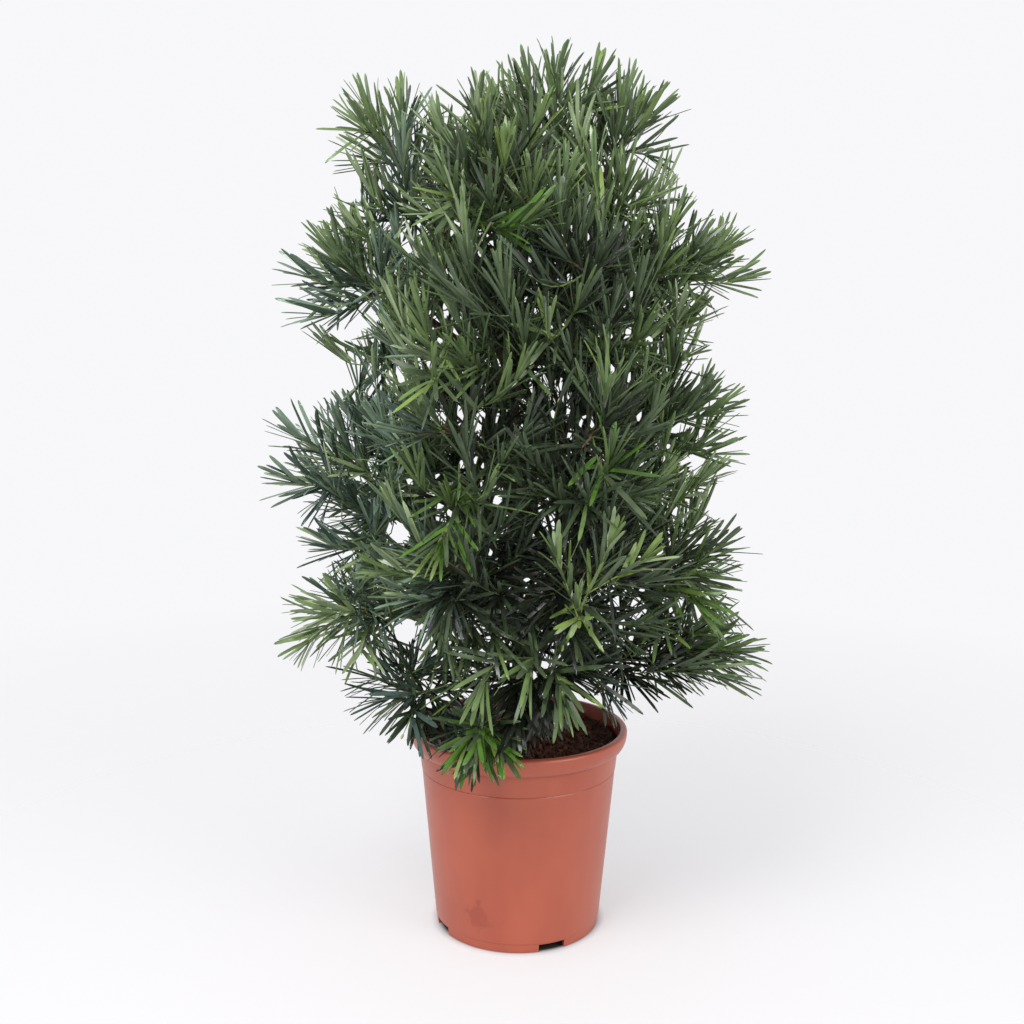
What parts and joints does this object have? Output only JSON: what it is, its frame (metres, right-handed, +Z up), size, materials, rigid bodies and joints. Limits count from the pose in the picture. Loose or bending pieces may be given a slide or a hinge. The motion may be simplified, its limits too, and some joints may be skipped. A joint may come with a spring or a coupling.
{
  "type": "potted podocarpus",
  "caption": "Bushy evergreen podocarpus with long narrow leaves, on one slim trunk, standing in a round tapered plastic nursery pot with a rolled rim.",
  "frame": {"origin": "on the ground, at the middle of the pot's underside", "axes": "+Z up along the pot's axis and the trunk, -Y towards the picture's camera, +X to the picture's right"},
  "size_m": [0.6075, 0.5198, 1.0745],
  "materials": {
    "terracotta": "satin moulded plastic in terracotta red",
    "peat": "dark moist peat with fibres",
    "bark": "thin red-brown bark",
    "leaf": "leathery deep green leaf with a soft gloss"
  },
  "bodies": {
    "root": {"pot": "terracotta", "soil": "peat", "trunk": "bark", "bough_top_left": "bark", "bough_top_right": "bark", "bough_top_front": "bark", "bough_top_back": "bark", "bough_upper_left": "bark", "bough_upper_right": "bark", "bough_upper_front_left": "bark", "bough_upper_front_right": "bark", "bough_upper_back_left": "bark", "bough_upper_back_right": "bark", "bough_middle_left": "bark", "bough_middle_right": "bark", "bough_middle_front_left": "bark", "bough_middle_front_right": "bark", "bough_middle_back_left": "bark", "bough_middle_back_right": "bark", "bough_lower_left": "bark", "bough_lower_right": "bark", "bough_lower_front_left": "bark", "bough_lower_front_right": "bark", "bough_lower_back_left": "bark", "bough_lower_back_right": "bark", "bough_base_right": "bark", "bough_base_front": "bark", "bough_base_back": "bark", "bough_skirt_left": "bark", "bough_pot_front": "bark", "foliage_tip": "leaf", "foliage_top_left": "leaf", "foliage_top_right": "leaf", "foliage_top_front": "leaf", "foliage_top_back": "leaf", "foliage_upper_left": "leaf", "foliage_upper_right": "leaf", "foliage_upper_front_left": "leaf", "foliage_upper_front_right": "leaf", "foliage_upper_back_left": "leaf", "foliage_upper_back_right": "leaf", "foliage_middle_left": "leaf", "foliage_middle_right": "leaf", "foliage_middle_front_left": "leaf", "foliage_middle_front_right": "leaf", "foliage_middle_back_left": "leaf", "foliage_middle_back_right": "leaf", "foliage_lower_left": "leaf", "foliage_lower_right": "leaf", "foliage_lower_front_left": "leaf", "foliage_lower_front_right": "leaf", "foliage_lower_back_left": "leaf", "foliage_lower_back_right": "leaf", "foliage_base_right": "leaf", "foliage_base_front": "leaf", "foliage_base_back": "leaf", "foliage_skirt_left": "leaf", "foliage_pot_front": "leaf"}
  },
  "joints": []
}
